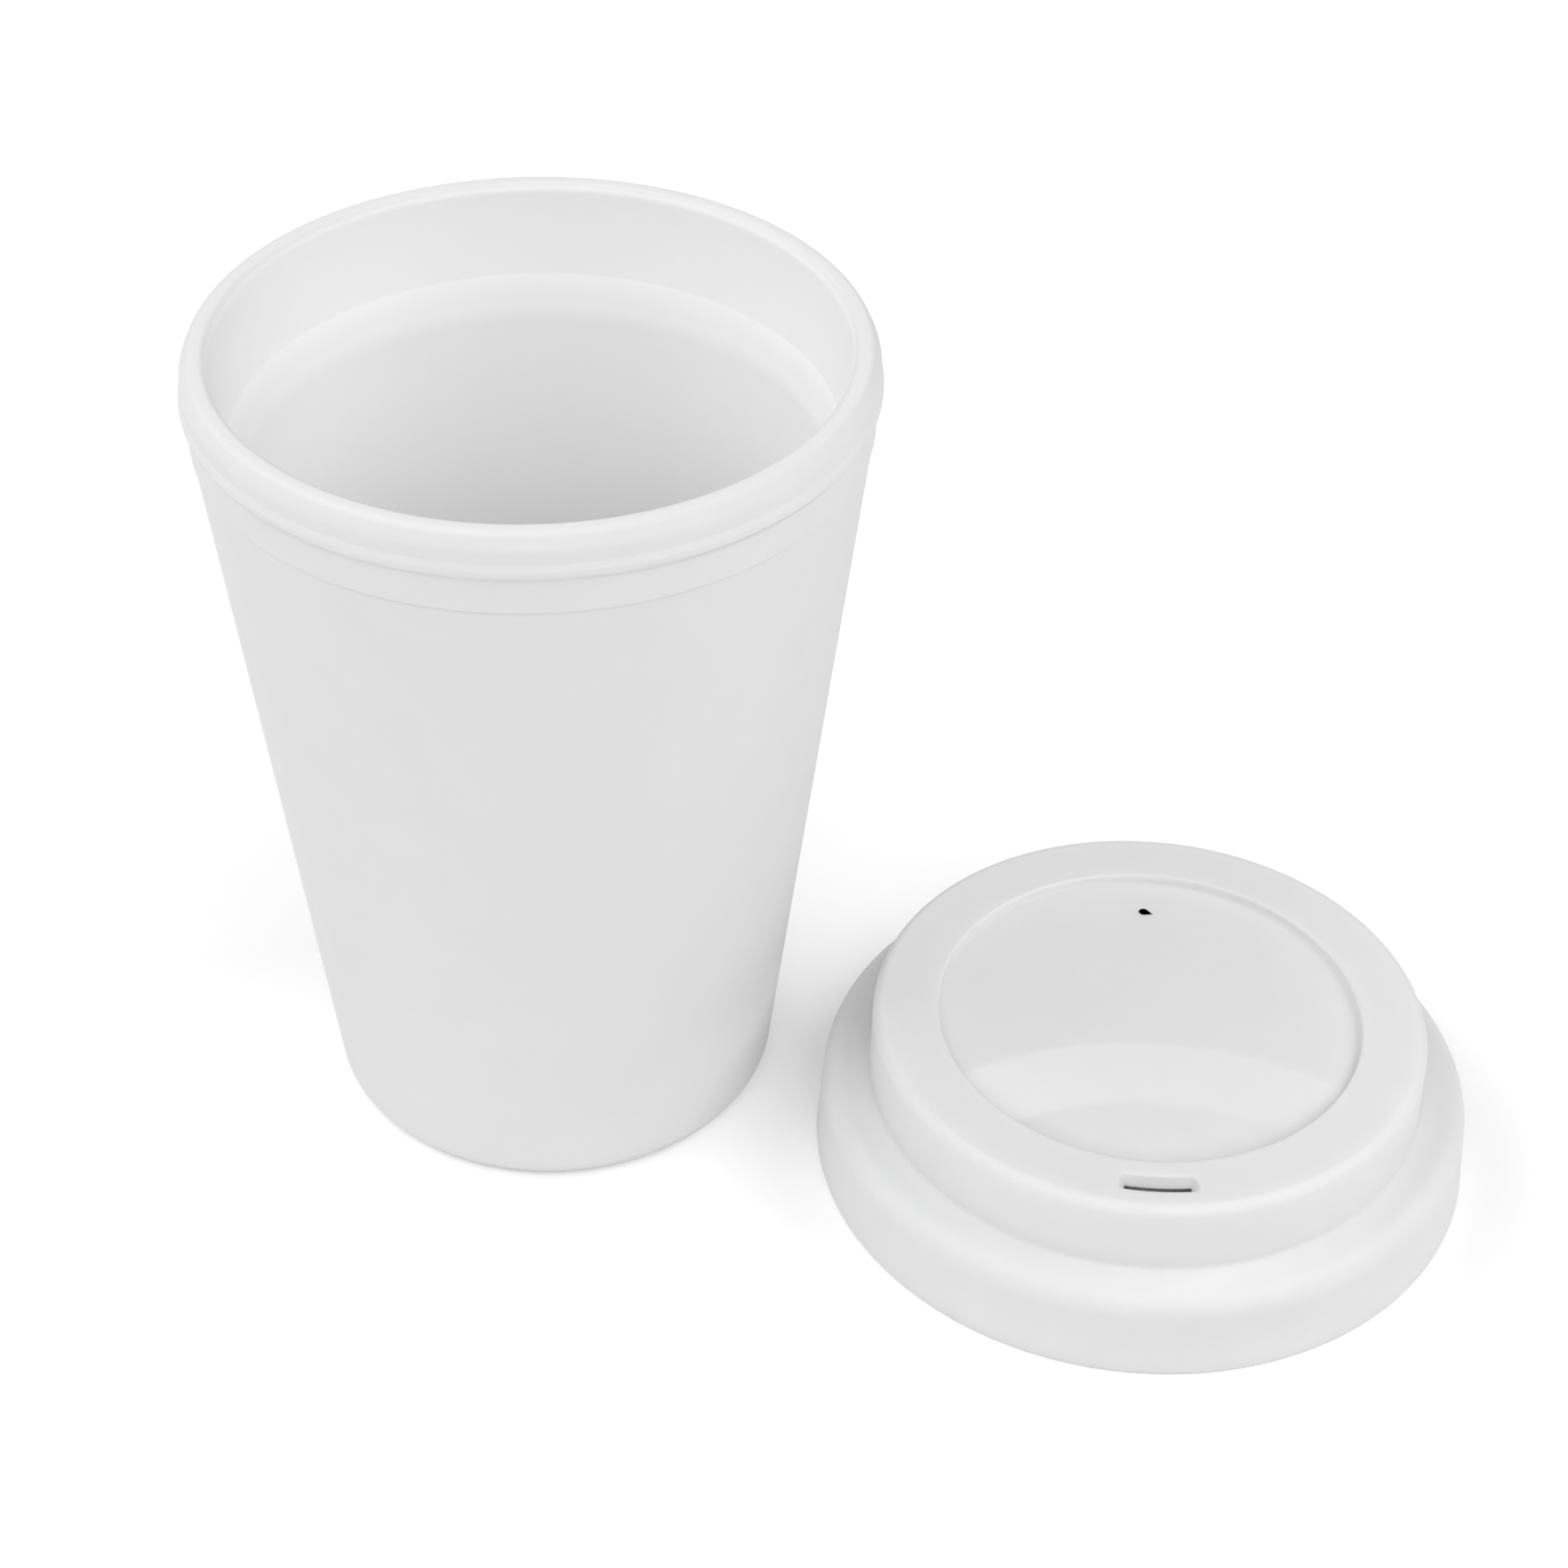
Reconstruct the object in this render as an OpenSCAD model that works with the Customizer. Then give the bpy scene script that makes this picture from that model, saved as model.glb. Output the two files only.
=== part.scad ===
// Reusable take-away cup with its push-on sip lid lying beside it.
// The cup has two walls: an inner cup with the drinking lip, and an outer shell
// with the foot, which meets the inner cup's collar at a seam. The soft lid is
// shown taken off, standing on its skirt. Lengths are in millimetres and +Z is up.
// The origin is the middle of the cup's foot, on the surface it stands on.

/* [Cup] */
// Height of the cup from its foot to the top of its lip
cup_h = 122; // [105:0.5:150]
// Outside diameter of the drinking lip
rim_d = 90; // [84:0.1:96]
// Thickness of the drinking lip
lip_w = 2.7; // [2.2:0.1:3.2]
// How far the swell of the lip, and the bead below it, stand out past the lip
bead_out = 1.3; // [0.9:0.1:2]
// Depth below the lip at which its outside has swelled the most
swell_depth = 3; // [2.4:0.1:3]
// Depth below the lip of the fine groove that parts the swell from the bead
notch_depth = 3.65; // [3.6:0.05:3.8]
// Depth below the lip at which the bead is widest
bead_crest = 4.4; // [4.3:0.1:5]
// Depth below the lip of the bead's underside
bead_end = 6.05; // [5.9:0.05:7]
// How far the collar under the bead stands out past the lip
collar_out = 0.65; // [0.5:0.05:0.8]
// Depth below the lip of the seam where the collar ends
collar_end = 11.6; // [9.5:0.1:14]
// How far the outer shell stands back from the collar at the seam
seam_step = 0.2; // [0.1:0.05:0.6]
// Diameter at which the shell's slope would reach the ground
foot_d = 64.4; // [58:0.2:72]
// Radius of the rounded edge round the foot
foot_edge = 3.5; // [1.5:0.1:5]

/* [Walls] */
// Thickness of the outer shell's wall and floor
shell_wall = 2; // [1.6:0.1:2.4]
// Thickness of the inner cup's wall and floor
inner_wall = 2; // [1.6:0.1:2.4]
// Air between the two walls, and between the two floors
air_gap = 1.5; // [1:0.1:2.5]
// Play between the shell's inside and the band that centres it
seat_play = 0.05; // [0.02:0.01:0.15]
// Height of the band under the collar that centres the shell
seat_h = 5; // [3:0.1:7]
// Depth below the lip of the shoulder inside the cup
shoulder_depth = 13.3; // [12.5:0.1:17]
// Height of the sloping shoulder inside the cup
shoulder_h = 5.4; // [4:0.1:9]
// Radius of the hollow between the inner cup's wall and its floor
inner_floor_edge = 7; // [3:0.5:12]
// Width of the flat ring that the foot stands on
foot_ring_w = 3; // [2:0.1:5]
// Height of the hollow under the foot
foot_hollow = 1.5; // [0.8:0.1:3]

/* [Lid] */
// Height of the lid on its skirt
lid_h = 24.5; // [22:0.05:28]
// Diameter of the skirt at its lower edge
lid_d = 95; // [94:0.1:101]
// How far the skirt leans in from its lower edge to its shoulder
skirt_lean = 0.9; // [0:0.05:1.2]
// Height of the shoulder's outer edge
lid_shoulder_z = 13.1; // [12.8:0.05:13.5]
// How far the shoulder rises towards the upper tier
lid_shoulder_rise = 0.15; // [0:0.05:0.6]
// Radius of the shoulder's rounded edge
lid_shoulder_edge = 3.2; // [0.5:0.1:3.3]
// Diameter of the upper tier
tier_d = 79.6; // [74:0.1:81]
// Radius of the rounded edge round the upper tier
tier_edge = 1.6; // [0.6:0.1:2.6]
// Thickness of the lid's top and tier wall
lid_wall = 1.8; // [1.4:0.1:2.2]
// How far the ring round the recess falls towards its outer edge
tier_crown = 0.2; // [0:0.05:0.8]
// Diameter of the round recess in the top
recess_d = 60.8; // [52:0.2:64]
// Depth of the recess
recess_depth = 1.3; // [0.8:0.1:2]
// Radius of the rounded edge round the recess
recess_edge = 1; // [0.3:0.1:1.4]

/* [Lid grip] */
// How much smaller in radius the unstretched skirt is than what it grips
grip = 0.6; // [0.2:0.05:0.8]
// Depth that the inner sealing ring reaches below the cup's lip
seal_h = 4; // [2:0.1:5]
// Thickness of the inner sealing ring
seal_w = 1.3; // [1:0.1:1.6]
// Play between the sealing ring and the inside of the cup
seal_play = 0.1; // [0:0.05:0.3]
// Height of the lead-in bevel inside the skirt's lower edge
lead_in = 1.2; // [0.6:0.1:2]

/* [Drinking side] */
// Depth of the pocket's floor below the recess's floor
pocket_depth = 2.95; // [1.5:0.05:4]
// Distance from the lid's middle to the top edge of the ramp
ramp_start = 5.6; // [2:0.1:12]
// Length of the ramp, seen from above
ramp_run = 9.2; // [5:0.1:13]
// Radius of the ramp's curved top edge
ramp_radius = 49; // [40:0.5:70]
// Distance from the lid's middle to the middle of the sip slot
slot_r = 34.8; // [34:0.1:36]
// Length of the sip slot along its curve
slot_len = 10.6; // [6:0.1:16]
// Width of the sip slot
slot_w = 2.6; // [1.6:0.1:3.2]
// Radius of the sip slot's corners
slot_corner = 0.8; // [0.4:0.1:1.2]
// Distance from the lid's middle to the vent hole
vent_r = 23.5; // [18:0.1:25]
// Diameter of the vent hole
vent_d = 1.2; // [1:0.1:3]

/* [Where the lid lies] */
// Direction of the lid from the cup, from +X towards +Y
lid_bearing = -18.3; // [-180:0.1:180]
// Clear space between the cup and the lid, at the height of the lid's top
lid_apart = 7.05; // [2:0.05:40]
// Turn of the lid about its own middle; its sip slot faces -Y at 0
lid_turn = -7.3; // [-180:0.1:180]

/* [Hidden] */
$fn = 180;
plastic = "#EBEAE9";
silicone = "#E6E6E5";

// Angle that one straight piece of a rounded corner turns
arc_step = 9;
// How far cutting bodies reach past what they cut
past = 1;

// Small roundings of the cup's moulded edges
lip_out_edge = 1.1;
swell_edge = 0.8;
notch_in = 0.35;
notch_edge = 0.4;
bead_top_edge = 1.5;
bead_low_edge = 0.8;
seam_edge = 0.1;
band_edge = 0.6;
shoulder_top_edge = 1;
shoulder_low_edge = 8;
shoulder_back_edge = 4;
ring_edge = 0.5;
hollow_edge = 0.8;

// Small roundings of the lid's moulded edges
skirt_edge = 0.5;
tier_foot_edge = 0.5;
recess_fillet = 0.25;
under_edge = 1;
groove_edge = 1.5;
small_edge = 0.4;

// Rim, bead and collar
lip_r = rim_d / 2;
lip_in_r = lip_r - lip_w;
lip_edge = 0.48 * lip_w;
bead_r = lip_r + bead_out;
// The swell's rounding takes its crest back to the bead's radius
swell_r = bead_r + 0.05;
collar_r = lip_r + collar_out;
collar_draft = 0.2;
collar_low_r = collar_r - collar_draft;
seam_z = cup_h - collar_end;
undercut_h = 0.4;

// Outer shell: one straight slope from the seam to the ground
shell_top_r = collar_low_r - seam_step;
foot_r = foot_d / 2;
slope = (shell_top_r - foot_r) / seam_z;
function shell_r(z) = foot_r + slope * z;
shell_floor_z = foot_hollow + shell_wall;
foot_hollow_r = foot_r - foot_edge - foot_ring_w;

// Inner cup: parallel to the shell above and below its shoulder
inner_set_in = shell_wall + air_gap + inner_wall;
function upper_r(z) = lip_in_r - slope * (cup_h - z);
function lower_r(z) = shell_r(z) - inner_set_in;
function band_r(z) = shell_r(z) - shell_wall - seat_play;
shoulder_top_z = cup_h - shoulder_depth;
shoulder_low_z = shoulder_top_z - shoulder_h;
band_low_z = seam_z - seat_h;
inner_under_z = shell_floor_z + air_gap;
inner_floor_z = inner_under_z + inner_wall;

// Lid: its inside follows the cup's rim
lid_r = lid_d / 2;
lid_shoulder_r = lid_r - skirt_lean;
tier_r = tier_d / 2;
tier_draft = 0.2;
tier_low_z = lid_shoulder_z + lid_shoulder_rise;
tier_top_z = lid_h - tier_crown;
seat_z = lid_shoulder_z - lid_wall;
groove_r = bead_r - grip;
groove_low_z = seat_z - bead_end;
snap_r = collar_r - grip;
snap_bevel = 0.8;
lead_in_play = 0.1;
lead_in_r = bead_r + lead_in_play;
seal_out_r = lip_in_r - slope * seal_h - seal_play;
seal_in_r = seal_out_r - seal_w;
seal_low_z = seat_z - seal_h;
recess_r = recess_d / 2;
recess_z = lid_h - recess_depth;
roof_z = lid_h - lid_wall;
pocket_z = recess_z - pocket_depth;
ramp_centre_y = -ramp_start - ramp_radius;
ramp_low_radius = ramp_radius - ramp_run;
pocket_over = 1.2 * recess_fillet;
lid_from_cup = shell_r(lid_h) + lid_r + lid_apart;

// An outline's corner: two coordinates and the radius that rounds it
function flat(p) = [p.x, p.y];
function unit(v) = v / norm(v);
function turned(v, a) = [v.x * cos(a) - v.y * sin(a), v.x * sin(a) + v.y * cos(a)];

// Points of the arc that rounds corner b between its neighbours a and c
function rounded_corner(a, b, c) =
    let (
        to_a = unit(flat(a) - flat(b)),
        to_c = unit(flat(c) - flat(b)),
        half = acos(to_a * to_c) / 2,
        sweep = 180 - 2 * half,
        side = to_a.x * to_c.y - to_a.y * to_c.x > 0 ? -1 : 1,
        centre = flat(b) + unit(to_a + to_c) * b.z / sin(half),
        start = flat(b) + to_a * b.z / tan(half) - centre,
        steps = ceil(sweep / arc_step)
    )
    [for (i = [0 : steps]) centre + turned(start, side * sweep * i / steps)];

// The whole outline, with every corner rounded by its own radius
function rounded(p) = [
    for (i = [0 : len(p) - 1])
        each p[i].z == 0 ? [flat(p[i])] :
            rounded_corner(p[(i + len(p) - 1) % len(p)], p[i], p[(i + 1) % len(p)])
];

module turned_solid(corners) {
    rotate_extrude()
        polygon(rounded(corners));
}

// The drinking cup: lip, bead, collar, wall with its inside shoulder, floor
module inner_cup() {
    color(plastic)
        turned_solid([
            [0, inner_floor_z, 0],
            [lower_r(inner_floor_z), inner_floor_z, inner_floor_edge],
            [lower_r(shoulder_low_z), shoulder_low_z, shoulder_low_edge],
            [upper_r(shoulder_top_z), shoulder_top_z, shoulder_top_edge],
            [lip_in_r, cup_h, lip_edge],
            [lip_r, cup_h, lip_out_edge],
            [swell_r, cup_h - swell_depth, swell_edge],
            [bead_r - notch_in, cup_h - notch_depth, notch_edge],
            [bead_r, cup_h - bead_crest, bead_top_edge],
            [bead_r, cup_h - bead_end, bead_low_edge],
            [collar_r, cup_h - bead_end - undercut_h, 0],
            [collar_low_r, seam_z, seam_edge],
            [band_r(seam_z), seam_z, 0],
            [band_r(band_low_z), band_low_z, band_edge],
            [lower_r(shoulder_low_z) + inner_wall, shoulder_low_z, shoulder_back_edge],
            [lower_r(inner_under_z) + inner_wall, inner_under_z, inner_floor_edge + inner_wall],
            [0, inner_under_z, 0]
        ]);
}

// The outer wall and foot, pushed up against the collar
module outer_shell() {
    color(plastic)
        turned_solid([
            [0, foot_hollow, 0],
            [foot_hollow_r - foot_hollow, foot_hollow, hollow_edge],
            [foot_hollow_r, 0, ring_edge],
            [foot_r, 0, foot_edge],
            [shell_top_r, seam_z, seam_edge],
            [shell_r(seam_z) - shell_wall, seam_z, 0],
            [shell_r(shell_floor_z) - shell_wall, shell_floor_z, foot_edge],
            [0, shell_floor_z, 0]
        ]);
}

// The lid's outside, filled in below
module lid_outside() {
    turned_solid([
        [0, 0, 0],
        [lid_r, 0, skirt_edge],
        [lid_shoulder_r, lid_shoulder_z, lid_shoulder_edge],
        [tier_r + tier_draft, tier_low_z, tier_foot_edge],
        [tier_r, tier_top_z, tier_edge],
        [recess_r, lid_h, recess_edge],
        [recess_r, recess_z, recess_fillet],
        [0, recess_z, 0]
    ]);
}

// What the mould's core leaves empty: skirt, groove for the bead, tier and top
module lid_inside() {
    turned_solid([
        [0, -past, 0],
        [lead_in_r, -past, 0],
        [lead_in_r, 0, 0],
        [snap_r, lead_in, small_edge],
        [snap_r, groove_low_z - snap_bevel, small_edge],
        [groove_r, groove_low_z, small_edge],
        [groove_r, seat_z, groove_edge],
        [seal_out_r, seat_z, small_edge],
        [seal_out_r, seal_low_z, small_edge],
        [seal_in_r, seal_low_z, small_edge],
        [tier_r - lid_wall, tier_low_z, under_edge],
        [tier_r - lid_wall, tier_top_z - lid_wall, under_edge],
        [recess_r + lid_wall, roof_z, small_edge],
        [recess_r + lid_wall, recess_z - lid_wall, recess_fillet],
        [0, recess_z - lid_wall, 0]
    ]);
}

// The pocket that the ramp leads down into, lowered by drop and wider by side.
// It reaches a little above the recess's floor, through the fillet at its wall.
module pocket(drop, side) {
    tall = pocket_depth + pocket_over;
    intersection() {
        translate([0, 0, pocket_z - drop])
            cylinder(r = recess_r + side, h = tall);
        translate([0, ramp_centre_y, pocket_z - drop])
            cylinder(r1 = ramp_low_radius, r2 = ramp_low_radius + ramp_run * tall / pocket_depth, h = tall);
    }
}

// A slot with rounded corners, bent round the lid's middle
module sip_slot() {
    half_len = slot_len / 2;
    half_w = slot_w / 2;
    outline = rounded([
        [-half_len, -half_w, slot_corner],
        [half_len, -half_w, slot_corner],
        [half_len, half_w, slot_corner],
        [-half_len, half_w, slot_corner]
    ]);
    translate([0, 0, roof_z - past])
        linear_extrude(lid_wall + 2 * past)
            polygon([for (p = outline) turned([0, -slot_r - p.y], p.x / slot_r * 180 / PI)]);
}

// The vent on the far side from the sip slot
module vent() {
    translate([0, vent_r, pocket_z])
        cylinder(d = vent_d, h = lid_h, $fn = 36);
}

module lid() {
    color(silicone)
        rotate([0, 0, lid_bearing])
            translate([lid_from_cup, 0, 0])
                rotate([0, 0, lid_turn - lid_bearing])
                    difference() {
                        lid_outside();
                        difference() {
                            lid_inside();
                            pocket(lid_wall, lid_wall);
                        }
                        pocket(0, 0);
                        sip_slot();
                        vent();
                    }
}

inner_cup();
outer_shell();
lid();
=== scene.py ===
"""A reusable take-away cup and its sip lid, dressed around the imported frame.

The cup's two walls are turned from a section by Geometry Nodes. The lid is one moulding:
a turned section closed by a floor with a ramp, and pierced by a sip slot and a vent.
"""

import math
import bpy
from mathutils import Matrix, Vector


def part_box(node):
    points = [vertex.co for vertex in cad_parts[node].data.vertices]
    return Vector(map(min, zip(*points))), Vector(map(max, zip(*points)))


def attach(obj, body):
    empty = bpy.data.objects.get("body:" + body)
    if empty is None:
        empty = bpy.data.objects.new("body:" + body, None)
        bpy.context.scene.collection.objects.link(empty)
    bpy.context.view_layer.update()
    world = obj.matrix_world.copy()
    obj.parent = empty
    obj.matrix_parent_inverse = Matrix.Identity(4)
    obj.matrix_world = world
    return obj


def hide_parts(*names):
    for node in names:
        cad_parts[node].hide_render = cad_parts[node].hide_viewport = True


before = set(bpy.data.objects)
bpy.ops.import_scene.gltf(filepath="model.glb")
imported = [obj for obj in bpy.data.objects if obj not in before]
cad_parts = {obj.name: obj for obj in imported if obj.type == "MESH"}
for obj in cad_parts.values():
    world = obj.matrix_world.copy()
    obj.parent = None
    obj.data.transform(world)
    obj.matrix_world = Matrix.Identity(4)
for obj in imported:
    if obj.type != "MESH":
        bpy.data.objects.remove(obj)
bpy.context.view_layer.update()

from types import SimpleNamespace

import bmesh
import bpy
from bpy.props import FloatProperty, FloatVectorProperty, IntProperty, PointerProperty
from mathutils import Matrix, Vector

bl_info = {
    "name": "Take-away cup and sip lid",
    "version": (1, 0, 0),
    "blender": (4, 5, 0),
    "location": "View3D > Sidebar > Cup",
    "description": "Builds a double-wall take-away cup, its sip lid and a plain studio",
    "category": "Object",
}

CUP_LOW, CUP_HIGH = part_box("inner_cup")
SHELL_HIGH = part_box("outer_shell")[1]
LID_LOW, LID_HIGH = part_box("lid")
MM = 0.001
# Edges that bend by more than the crease angle are drawn sharp; points this close are joined
CREASE = math.radians(35)
WELD = 0.002 * MM

# Roundings of the inner cup's section, from under its floor, up outside and down inside
SHOULDER_BACK_EDGE = 4 * MM
BAND_EDGE = 0.6 * MM
SEAM_EDGE = 0.1 * MM
COLLAR_EDGE = 0.35 * MM
BEAD_LOW_EDGE = 1.1 * MM
BEAD_CREST_EDGE = 0.7 * MM
NOTCH_EDGE = 0.6 * MM
SWELL_EDGE = 2.2 * MM
LIP_OUT_EDGE = 1.1 * MM
LIP_IN_SHARE = 0.48
SHOULDER_TOP_EDGE = 1 * MM
SHOULDER_LOW_EDGE = 8 * MM
# How far the collar narrows towards the seam, and the height of the slope under the bead
COLLAR_DRAFT = 0.2 * MM
BEAD_SLOPE = 0.5 * MM

# Roundings under the outer shell's foot
HOLLOW_EDGE = 0.8 * MM
RING_EDGE = 0.5 * MM

# Roundings of the lid's section, and of its floor
TIER_FOOT_EDGE = 0.5 * MM
SKIRT_EDGE = 0.5 * MM
LEAD_IN_EDGE = 0.15 * MM
UNDER_EDGE = 0.4 * MM
GROOVE_EDGE = 1.5 * MM
TIER_INNER_EDGE = 1 * MM
FLOOR_FILLET = 0.5 * MM
RAMP_BEND = 0.45 * MM
# Height of the bevel behind the snap edge, and play of the lead-in round the bead
SNAP_BEVEL = 0.8 * MM
LEAD_IN_PLAY = 0.1 * MM

# The slot and the vent: roundings above and below, how far past these the lid's faces are
# taken out, and how much narrower each side is below
SLOT_SOFTS, SLOT_CLEAR, SLOT_DRAFT = (0.5 * MM, 0.12 * MM), 0.35 * MM, 0.65 * MM
VENT_SOFTS, VENT_CLEAR, VENT_DRAFT = (0.1 * MM, 0.1 * MM), 0.3 * MM, 0.35 * MM

# Heights between which the wall above the inside shoulder becomes single, and the painted light
# inside rises to its full share
SINGLE_LOW, SINGLE_HIGH = 105 * MM, 110 * MM
# Painted light: how much brighter the inside of a single wall is painted, standing in for light
# through the wall, and the brightest that this painted colour may be
PAINTED_LIGHT_GAIN, PAINTED_LIGHT_CAP = 1.17, 0.97

# The point that the soft boxes face, and each box's turn to the right and rise in degrees
AIM = Vector((0.04, 0, 0.05))
LAMPS = {"front": (0, 48), "right": (90, 40), "right_front": (45, 40), "left": (-90, 40),
         "left_front": (-45, 40), "back": (-135, 40)}


def linear(hex_colour):
    """An sRGB hex colour as linear red, green and blue."""
    parts = [int(hex_colour[i:i + 2], 16) / 255 for i in (1, 3, 5)]
    return tuple(c / 12.92 if c <= 0.04045 else ((c + 0.055) / 1.055) ** 2.4 for c in parts)


def length(name, description, default):
    """A length in metres that the sidebar shows in the scene's unit."""
    return FloatProperty(name=name, description=description, default=default, min=0,
                         unit="LENGTH", precision=5)


def colour(name, description, hex_colour):
    """A colour that the sidebar shows as a swatch."""
    return FloatVectorProperty(name=name, description=description, default=linear(hex_colour),
                               subtype="COLOR", min=0, max=1)


def power(name, description, default):
    """The power of a lamp in watts."""
    return FloatProperty(name=name, description=description, default=default, min=0,
                         unit="POWER")


class CupSizes(bpy.types.PropertyGroup):
    """Sizes of the cup: its rim, its two walls and its foot"""

    height: length("Height", "From the foot to the top of the lip", CUP_HIGH.z)
    bead_radius: length("Bead radius", "Radius of the snap bead", (CUP_HIGH.x - CUP_LOW.x) / 2)
    seam_height: length("Seam height", "Height at which the shell meets the collar", SHELL_HIGH.z)
    lip_width: length("Lip width", "Thickness of the drinking lip", 2.7 * MM)
    bead_out: length("Bead", "How far the bead stands out past the lip", 1.3 * MM)
    swell_depth: length("Swell", "Depth at which the lip's outside turns upright", 2.1 * MM)
    notch_depth: length("Notch", "Depth of the hollow above the bead", 4.1 * MM)
    notch_in: length("Notch cut", "How far the hollow lies in from the bead", 0.32 * MM)
    bead_crest: length("Bead crest", "Depth below the lip at which the bead is widest", 5 * MM)
    bead_end: length("Bead end", "Depth below the lip of the bead's underside", 6.05 * MM)
    collar_out: length("Collar", "How far the collar stands out past the lip", 0.65 * MM)
    seam_step: length("Seam step", "How far the shell stands back from the collar", 0.2 * MM)
    foot_radius: length("Foot radius", "Where the shell's slope would reach the ground", 32.2 * MM)
    foot_edge: length("Foot edge", "Rounding round the foot", 3.5 * MM)
    foot_ring: length("Foot ring", "Width of the ring that the cup stands on", 3 * MM)
    foot_hollow: length("Foot hollow", "Height of the hollow under the foot", 1.5 * MM)
    shell_wall: length("Shell wall", "Thickness of the outer shell", 2 * MM)
    inner_wall: length("Inner wall", "Thickness of the inner cup", 2 * MM)
    air_gap: length("Air gap", "Air between the two walls", 1.5 * MM)
    seat_play: length("Seat play", "Play between the shell and the band", 0.05 * MM)
    seat_height: length("Seat height", "Height of the band that centres the shell", 5 * MM)
    shoulder_depth: length("Shoulder depth", "Depth of the shoulder inside the cup", 13.3 * MM)
    shoulder_height: length("Shoulder height", "Height of the sloping shoulder", 5.4 * MM)
    floor_edge: length("Floor edge", "Hollow between the inner wall and floor", 7 * MM)
    segments: IntProperty(name="Segments", description="Steps round the cup", default=256, min=32)


class LidSizes(bpy.types.PropertyGroup):
    """Sizes of the lid and the place where it lies"""

    centre: FloatVectorProperty(
        name="Centre", description="Middle of the lid on the ground", subtype="TRANSLATION",
        default=((LID_LOW.x + LID_HIGH.x) / 2, (LID_LOW.y + LID_HIGH.y) / 2, 0))
    turn: FloatProperty(name="Turn", description="Turn of the sip slot away from -Y",
                        default=math.radians(-7.3), unit="ROTATION")
    height: length("Height", "Height of the lid on its skirt", LID_HIGH.z)
    radius: length("Radius", "Radius of the skirt at its lower edge", 47.5 * MM)
    skirt_lean: length("Skirt lean", "How far the skirt leans in to its shoulder", 0.9 * MM)
    shoulder_z: length("Shoulder height", "Height of the shoulder's outer edge", 13.1 * MM)
    shoulder_rise: length("Shoulder rise", "Rise of the shoulder towards the tier", 0.15 * MM)
    shoulder_edge: length("Shoulder edge", "Rounding of the shoulder", 3.2 * MM)
    tier_radius: length("Tier radius", "Radius of the upper tier", 39.8 * MM)
    tier_draft: length("Tier draft", "How much wider the tier is at its foot", 0.2 * MM)
    tier_edge: length("Tier edge", "Rounding round the upper tier", 1.6 * MM)
    tier_crown: length("Tier crown", "Fall of the top ring towards its outer edge", 0.2 * MM)
    wall: length("Wall", "Thickness of the lid's top", 1.8 * MM)
    recess_radius: length("Recess radius", "Radius of the round recess", 30.4 * MM)
    recess_depth: length("Recess depth", "Depth of the round recess", 1.3 * MM)
    recess_edge: length("Recess edge", "Rounding round the recess", 0.45 * MM)
    pocket_depth: length("Pocket depth", "Depth of the pocket below the recess", 2.95 * MM)
    ramp_start: length("Ramp start", "From the lid's middle to the ramp's top", 5.6 * MM)
    ramp_run: length("Ramp run", "Length of the ramp seen from above", 9.2 * MM)
    ramp_radius: length("Ramp radius", "Radius of the ramp's curved top edge", 49 * MM)
    slot_radius: length("Slot radius", "From the lid's middle to the slot", 34.8 * MM)
    slot_length: length("Slot length", "Length of the sip slot", 10.6 * MM)
    slot_width: length("Slot width", "Width of the sip slot", 2.6 * MM)
    slot_corner: length("Slot corner", "Rounding of the slot's corners", 0.8 * MM)
    vent_radius: length("Vent place", "From the lid's middle to the vent", 23.5 * MM)
    vent_width: length("Vent width", "Diameter of the vent", 1.2 * MM)
    grip: length("Grip", "How much the skirt is smaller than what it grips", 0.6 * MM)
    seal_height: length("Seal height", "Depth of the inner sealing ring", 4 * MM)
    seal_width: length("Seal width", "Thickness of the sealing ring", 1.3 * MM)
    seal_play: length("Seal play", "Play of the sealing ring in the cup", 0.1 * MM)
    lead_in: length("Lead-in", "Height of the bevel inside the lower edge", 1.2 * MM)
    segments: IntProperty(name="Segments", description="Steps round the lid", default=280, min=64)


class Finish(bpy.types.PropertyGroup):
    """Colours of the materials and the studio"""

    polypropylene: colour("Cup", "Moulded polypropylene of both cup walls", "#E9E9E9")
    silicone: colour("Lid", "Moulded silicone of the lid", "#EEEEEE")
    floor: colour("Floor", "Paper floor of the studio", "#F4F4F4")


class StudioSizes(bpy.types.PropertyGroup):
    """The camera's place and the strength of the light"""

    camera_place: FloatVectorProperty(name="Camera", description="Where the camera stands",
                                      subtype="TRANSLATION", default=(0, -0.382951, 0.350401))
    pitch: FloatProperty(name="Pitch", description="How far the camera looks down",
                         default=math.radians(38.34), unit="ROTATION")
    yaw: FloatProperty(name="Yaw", description="How far the camera looks to the right",
                       default=math.radians(5.10), unit="ROTATION")
    roll: FloatProperty(name="Roll", description="How far the camera leans",
                        default=math.radians(-1.01), unit="ROTATION")
    lens: FloatProperty(name="Lens", description="Focal length", default=77.39, unit="CAMERA")
    sky: FloatProperty(name="Sky", description="Strength of the even light", default=0.1, min=0)
    front: power("Front light", "Power of the soft box above the camera", 21)
    right: power("Right light", "Power of the soft box on the right", 22)
    right_front: power("Right front light", "Power of the soft box right of the camera", 11)
    left: power("Left light", "Power of the soft box on the left", 20)
    left_front: power("Left front light", "Power of the soft box left of the camera", 8.5)
    back: power("Back light", "Power of the soft box behind the cup on the left", 17)


def unit(v):
    """A vector of length one."""
    return v / v.length


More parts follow.
